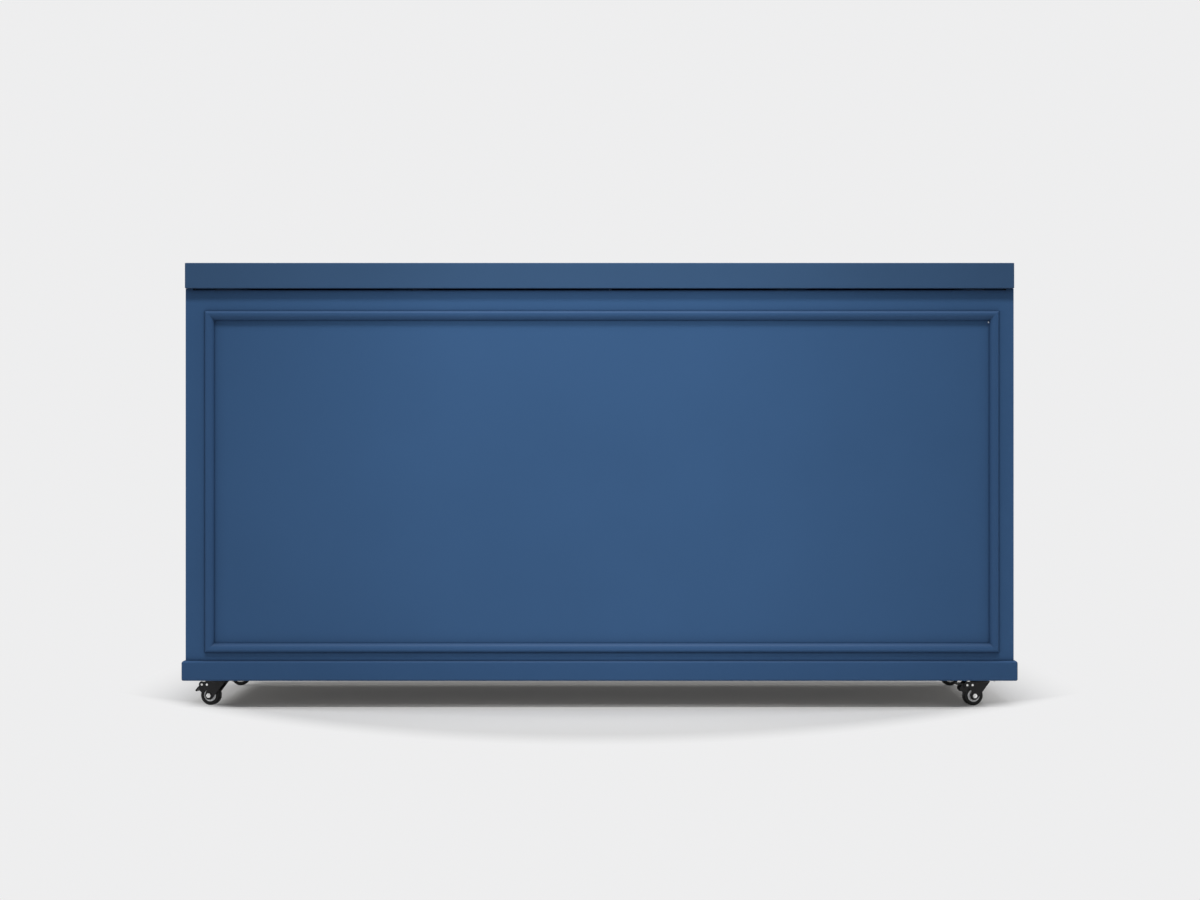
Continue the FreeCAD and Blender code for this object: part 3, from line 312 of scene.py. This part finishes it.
def paint_material(name, shades, roughness, worn_and_highlit_edges=False, pale_spot_place=None, raw_below=False):
    """Rolled paint: clouds of tone, painted shade in the creases, a fine stipple, and what else is asked
    for.
    """
    material, tree, shader = new_material(name)
    colour = blend_colours(tree, patches(tree, PAINT_CLOUDS), *shades)
    # Painted shade: the paint is darker in corners and creases, where shade falls.
    crease_shade = calculate(tree, "MULTIPLY", painted_crease_shade_mask(tree), CREASE_SHADE_COLOUR_SHARE)
    colour = blend_colours(tree, crease_shade, colour, PAINTED_CREASE_SHADE_COLOUR)
    if raw_below:
        raw = blend_colours(tree, patches(tree, RAW_STREAKS), *RAW_SHADES)
        colour = blend_colours(tree, downward_mask(tree), colour, raw)
    # Lighter edges on the slab and plinth: partly wear, partly a painted highlight.
    if worn_and_highlit_edges:
        edges = edge_mask(tree, PAINT_EDGE, PAINT_EDGE_AGREEMENT)
        wear = calculate(tree, "MULTIPLY", edges, patches(tree, PAINT_RUB_AND_HIGHLIGHT_PATCHES))
        wear = calculate(tree, "MULTIPLY", wear, PAINT_WEAR_AND_HIGHLIGHT_SHARE)
        colour = blend_colours(tree, wear, colour, WORN_AND_HIGHLIT_EDGE_COLOUR)
    # A small near-white spot painted on the panel in its upper right corner.
    if pale_spot_place:
        colour = blend_colours(tree, spot_mask(tree, pale_spot_place, PALE_SPOT_RADIUS), colour, PALE_SPOT_COLOUR)
    gloss = patches(tree, PAINT_GLOSS, *roughness)
    lead_to_shader(tree, shader, colour, gloss, PAINT_STIPPLE, PAINT_RELIEF)
    shader.inputs["Specular IOR Level"].default_value = PAINT_SPECULAR
    return material


def steel_material():
    """Black painted steel, uneven in tone, with slightly bare edges."""
    material, tree, shader = new_material("black_steel")
    colour = blend_colours(tree, patches(tree, STEEL_CLOUDS), *STEEL_SHADES)
    edges = edge_mask(tree, STEEL_EDGE, STEEL_EDGE_AGREEMENT)
    wear = calculate(tree, "MULTIPLY", edges, patches(tree, STEEL_RUBS))
    wear = calculate(tree, "MULTIPLY", wear, STEEL_WEAR_SHARE)
    colour = blend_colours(tree, wear, colour, BARE_STEEL_COLOUR)
    gloss = patches(tree, STEEL_GLOSS, *STEEL_ROUGHNESS)
    lead_to_shader(tree, shader, colour, gloss, STEEL_GRAIN, STEEL_RELIEF)
    shader.inputs["Specular IOR Level"].default_value = STEEL_SPECULAR
    return material


def tyre_material():
    """Black tread with floor dust on it."""
    material, tree, shader = new_material("black_tyre")
    dust = patches(tree, TYRE_DUST)
    colour = blend_colours(tree, dust, *TYRE_SHADES)
    gloss = remap(tree, dust, 0.0, 1.0, *TYRE_ROUGHNESS)
    lead_to_shader(tree, shader, colour, gloss, TYRE_GRAIN, TYRE_RELIEF)
    shader.inputs["Specular IOR Level"].default_value = TYRE_SPECULAR
    return material


def hub_material():
    """Pale moulded plastic, soiled in places."""
    material, tree, shader = new_material("grey_hub")
    soil = patches(tree, HUB_SOIL)
    colour = blend_colours(tree, soil, *HUB_SHADES)
    gloss = remap(tree, soil, 0.0, 1.0, *HUB_ROUGHNESS)
    lead_to_shader(tree, shader, colour, gloss, HUB_GRAIN, HUB_RELIEF)
    return material


def zinc_material():
    """Zinc plated steel with fine turning marks."""
    material, tree, shader = new_material("bright_zinc")
    dull = patches(tree, ZINC_PATCHES)
    colour = blend_colours(tree, dull, *ZINC_SHADES)
    gloss = remap(tree, dull, 0.0, 1.0, *ZINC_ROUGHNESS)
    lead_to_shader(tree, shader, colour, gloss, ZINC_MARKS, ZINC_RELIEF)
    shader.inputs["Metallic"].default_value = 1.0
    return material


# Dressing the pieces

def dress(name, material):
    """Give a piece one material all over."""
    mesh = nodes[name].data
    mesh.materials.clear()
    mesh.materials.append(material)


def soften(name, width):
    """Small rounds on a piece's edges, so that they catch the light."""
    piece = nodes[name]
    weld = piece.modifiers.new("weld", "WELD")
    weld.merge_threshold = WELD_GAP
    bevel = piece.modifiers.new("rounds", "BEVEL")
    bevel.width = width
    bevel.segments = ROUND_SEGMENTS
    bevel.limit_method = "ANGLE"
    bevel.angle_limit = math.radians(ROUND_ANGLE_DEG)
    bevel.harden_normals = True


def find_pale_spot():
    """The place of the pale spot, on the face of the panel and in the corner of two mouldings."""
    panel_low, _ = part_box("front_panel")
    right_low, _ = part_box("front_moulding_right")
    top_low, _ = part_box("front_moulding_top")
    return (right_low.x - PALE_SPOT_TO_SIDE, panel_low.y, top_low.z - PALE_SPOT_TO_TOP)


def dress_by_slot():
    """Give every piece the material of its slot in the record."""
    by_slot = {
        "blue_paint": paint_material("blue_paint", PAINT_SHADES, PAINT_ROUGHNESS),
        "inside_paint": paint_material("inside_paint", INSIDE_SHADES, INSIDE_ROUGHNESS),
        "black_steel": steel_material(),
        "black_tyre": tyre_material(),
        "grey_hub": hub_material(),
        "bright_zinc": zinc_material(),
    }
    for row in frame["record"]["subparts"]:
        dress(row["node"], by_slot[row["material_slot"]])


def dress_own_shades():
    """Give the slab, the plinth, the mouldings, the panel and the base board paints of their own; the
    slab's, the plinth's and the mouldings' are darker copies of the blue paint, as painted shade, and the
    slab's is also greyer, as a painted reflection.
    """
    slab = paint_material("blue_paint_slab_shaded", SLAB_SHADED_GREYED_SHADES, PAINT_ROUGHNESS, worn_and_highlit_edges=True)
    plinth = paint_material("blue_paint_plinth", PLINTH_SHADED_SHADES, PAINT_ROUGHNESS, worn_and_highlit_edges=True)
    moulding = paint_material("blue_paint_moulding_shaded", MOULDING_SHADED_SHADES, PAINT_ROUGHNESS)
    panel = paint_material("blue_paint_panel", PAINT_SHADES, PAINT_ROUGHNESS, pale_spot_place=find_pale_spot())
    base = paint_material("inside_paint_base", INSIDE_SHADES, INSIDE_ROUGHNESS, raw_below=True)
    for name in nodes:
        if name.endswith("_lipping"):
            dress(name, slab)
        if name.startswith("plinth_"):
            dress(name, plinth)
        if "_moulding" in name:
            dress(name, moulding)
    dress("top_board", slab)
    dress("front_panel", panel)
    dress("base_board", base)


def soften_casters():
    """Round the edges of the casters' hard pieces and of their screws."""
    for corner in CORNERS:
        for piece, width in CASTER_ROUNDS.items():
            soften(f"{corner}_{piece}", width)
    soften("caster_screws", SCREW_ROUND)


# Studio

def rays_that_see(tree):
    """One for the rays that look at something, nothing for those that only carry light."""
    path = add_node(tree, "ShaderNodeLightPath")
    either = calculate(tree, "MAXIMUM", path.outputs["Is Camera Ray"], path.outputs["Is Glossy Ray"])
    return calculate(tree, "MAXIMUM", either, path.outputs["Is Transmission Ray"])


def backdrop_share(tree):
    """How much of the backdrop shows at each place of the floor, from next to nothing to all of it."""
    low, high = cad_box
    place = add_node(tree, "ShaderNodeSeparateXYZ")
    tree.links.new(piece_coordinates(tree), place.inputs[0])
    across = calculate(tree, "ABSOLUTE", place.outputs["X"])
    fade = remap(tree, across, *(high.x + limit for limit in FADE_AT_SIDES), smooth=True)
    bow = calculate(tree, "POWER", calculate(tree, "DIVIDE", across, SHADOW_HALF_WIDTH), 2.0)
    reach = calculate(tree, "MULTIPLY", calculate(tree, "SUBTRACT", 1.0, bow), SHADOW_REACH)
    distance = calculate(tree, "SUBTRACT", low.y, place.outputs["Y"])
    ahead = remap(tree, calculate(tree, "SUBTRACT", distance, reach), *FADE_IN_FRONT, smooth=True)
    behind = remap(tree, place.outputs["Y"], *(high.y + limit for limit in FADE_BEHIND), smooth=True)
    for share in (ahead, behind, FLOOR_GLOW_SHARE):
        fade = calculate(tree, "MAXIMUM", fade, share)
    return fade


def floor_material():
    """A pale matt floor that keeps shadows and fades into the backdrop."""
    material = bpy.data.materials.new("studio_floor")
    material.use_nodes = True
    tree = material.node_tree
    tree.nodes.clear()
    diffuse = add_node(tree, "ShaderNodeBsdfDiffuse")
    diffuse.inputs["Color"].default_value = (*FLOOR_COLOUR, 1)
    glow = add_node(tree, "ShaderNodeEmission")
    glow.inputs["Color"].default_value = (*BACKDROP_COLOUR, 1)
    seen = calculate(tree, "MULTIPLY", backdrop_share(tree), rays_that_see(tree))
    mixed = add_node(tree, "ShaderNodeMixShader")
    tree.links.new(seen, mixed.inputs[0])
    tree.links.new(diffuse.outputs[0], mixed.inputs[1])
    tree.links.new(glow.outputs[0], mixed.inputs[2])
    output = add_node(tree, "ShaderNodeOutputMaterial")
    tree.links.new(mixed.outputs[0], output.inputs["Surface"])
    return material


def make_floor():
    """A wide round floor under the counter."""
    points = []
    for step in range(FLOOR_RIM_POINTS):
        turn = 2 * math.pi * step / FLOOR_RIM_POINTS
        points.append((FLOOR_RADIUS * math.cos(turn), FLOOR_RADIUS * math.sin(turn), 0))
    mesh = bpy.data.meshes.new("studio_floor")
    mesh.from_pydata(points, [], [range(FLOOR_RIM_POINTS)])
    floor = bpy.data.objects.new("studio_floor", mesh)
    bpy.context.scene.collection.objects.link(floor)
    mesh.materials.append(floor_material())


def make_world():
    """Even light all round, and a pale backdrop for what looks at it."""
    world = bpy.data.worlds.new("studio")
    bpy.context.scene.world = world
    world.use_nodes = True
    tree = world.node_tree
    tree.nodes.clear()
    light = add_node(tree, "ShaderNodeBackground")
    set_inputs(light, Color=(1, 1, 1, 1), Strength=WORLD_LIGHT)
    backdrop = add_node(tree, "ShaderNodeBackground")
    set_inputs(backdrop, Color=(*BACKDROP_COLOUR, 1), Strength=1.0)
    mixed = add_node(tree, "ShaderNodeMixShader")
    tree.links.new(rays_that_see(tree), mixed.inputs[0])
    tree.links.new(light.outputs[0], mixed.inputs[1])
    tree.links.new(backdrop.outputs[0], mixed.inputs[2])
    output = add_node(tree, "ShaderNodeOutputWorld")
    tree.links.new(mixed.outputs[0], output.inputs["Surface"])


def soft_box(name, size):
    """A soft rectangular lamp."""
    lamp = bpy.data.lights.new(name, "AREA")
    lamp.shape = "RECTANGLE"
    lamp.size, lamp.size_y = size
    return lamp


def soft_spot(name):
    """A soft round lamp, brightest in the middle of its cone."""
    lamp = bpy.data.lights.new(name, "SPOT")
    lamp.spot_size = math.radians(SPOT_ANGLE_DEG)
    lamp.spot_blend = 1.0
    lamp.shadow_soft_size = SPOT_RADIUS
    return lamp


def place_lamp(lamp, place, target, power, reflected):
    """Aim a lamp that the camera doesn't see, and that shiny pieces may reflect."""
    lamp.energy = power
    holder = bpy.data.objects.new(lamp.name, lamp)
    holder.location = place
    holder.rotation_euler = (Vector(target) - Vector(place)).to_track_quat("-Z", "Y").to_euler()
    holder.visible_camera = False
    holder.visible_glossy = reflected
    bpy.context.scene.collection.objects.link(holder)


def make_lamps():
    """A key, a spot on the middle of the front, a low fill, and soft boxes for the ends and the rear."""
    place_lamp(soft_box("key", KEY_SIZE), KEY_PLACE, KEY_TARGET, KEY_POWER, True)
    place_lamp(soft_spot("spot"), SPOT_PLACE, SPOT_TARGET, SPOT_POWER, False)
    place_lamp(soft_box("low_fill", LOW_SIZE), LOW_PLACE, LOW_TARGET, LOW_POWER, False)
    place_lamp(soft_box("rear", REAR_SIZE), REAR_PLACE, REAR_TARGET, REAR_POWER, True)
    for side in (-1, 1):
        place = (side * END_PLACE[0], *END_PLACE[1:])
        target = (side * END_TARGET[0], *END_TARGET[1:])
        place_lamp(soft_box("end", END_SIZE), place, target, END_POWER, False)


def make_camera():
    """The photograph's view, level and square to the front."""
    lens = bpy.data.cameras.new("camera")
    lens.lens = CAMERA_LENS
    lens.sensor_width = SENSOR_WIDTH
    lens.shift_x = CAMERA_SHIFT_SHARE
    camera = bpy.data.objects.new("camera", lens)
    camera.location = CAMERA_PLACE
    camera.rotation_euler = (math.radians(90), 0, 0)
    bpy.context.scene.collection.objects.link(camera)
    bpy.context.scene.camera = camera


make_camera()
make_world()
make_floor()
make_lamps()
dress_by_slot()
dress_own_shades()
soften_casters()
bpy.context.scene.view_settings.view_transform = "Standard"
